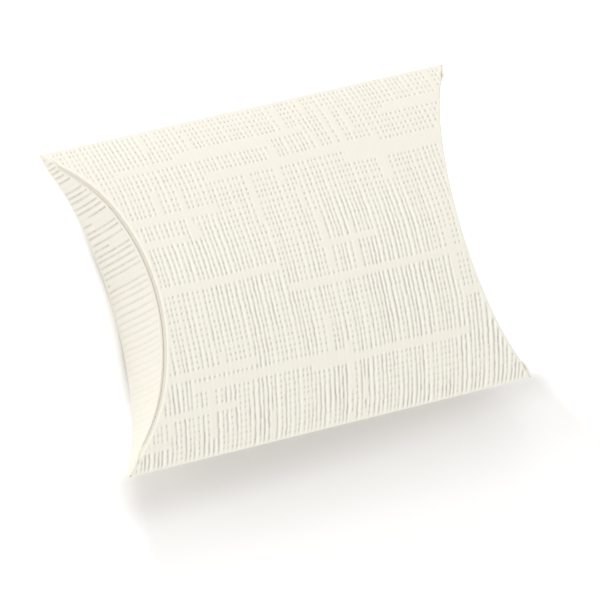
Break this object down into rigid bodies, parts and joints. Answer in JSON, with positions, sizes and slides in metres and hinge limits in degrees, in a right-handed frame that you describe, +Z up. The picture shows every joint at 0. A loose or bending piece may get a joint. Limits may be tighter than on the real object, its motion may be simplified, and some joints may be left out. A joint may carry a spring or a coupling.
{
  "type": "pillow box",
  "caption": "Small pillow-shaped gift box of ivory embossed card: arched panels with a glued side seam, and curved end flaps that fold shut one behind the other.",
  "frame": {"origin": "under the middle of the box, on the lowest line of its belly", "axes": "+X along the side creases from the left end to the right end, +Y across the box towards the glued side, +Z up"},
  "size_m": [0.095, 0.07, 0.0264],
  "materials": {
    "card": "ivory card with a fine linen emboss, matt with a soft sheen",
    "glue": "dried white glue, pale and slightly clear"
  },
  "bodies": {
    "sleeve": {"top_panel": "card", "bottom_panel": "card", "glue_tab": "card", "seam_glue": "glue"},
    "left_outer_flap": {"left_outer_flap": "card"},
    "left_inner_flap": {"left_inner_flap": "card"},
    "right_outer_flap": {"right_outer_flap": "card"},
    "right_inner_flap": {"right_inner_flap": "card"}
  },
  "joints": [
    {"name": "left_outer_fold", "type": "hinge", "parent": "sleeve", "child": "left_outer_flap", "pos_m": [-0.0356, 0, 0], "axis": [0, -1, 0], "range_deg": [0, 75]},
    {"name": "left_inner_fold", "type": "hinge", "parent": "sleeve", "child": "left_inner_flap", "pos_m": [-0.0349, 0, 0.0264], "axis": [0, 1, 0], "range_deg": [0, 56.25]},
    {"name": "right_outer_fold", "type": "hinge", "parent": "sleeve", "child": "right_outer_flap", "pos_m": [0.0356, 0, 0], "axis": [0, 1, 0], "range_deg": [0, 75]},
    {"name": "right_inner_fold", "type": "hinge", "parent": "sleeve", "child": "right_inner_flap", "pos_m": [0.0349, 0, 0.0264], "axis": [0, -1, 0], "range_deg": [0, 56.25]}
  ],
  "couplings": [
    {"joint": "left_inner_fold", "follows": "left_outer_fold", "ratio": 0.75},
    {"joint": "right_inner_fold", "follows": "right_outer_fold", "ratio": 0.75}
  ]
}
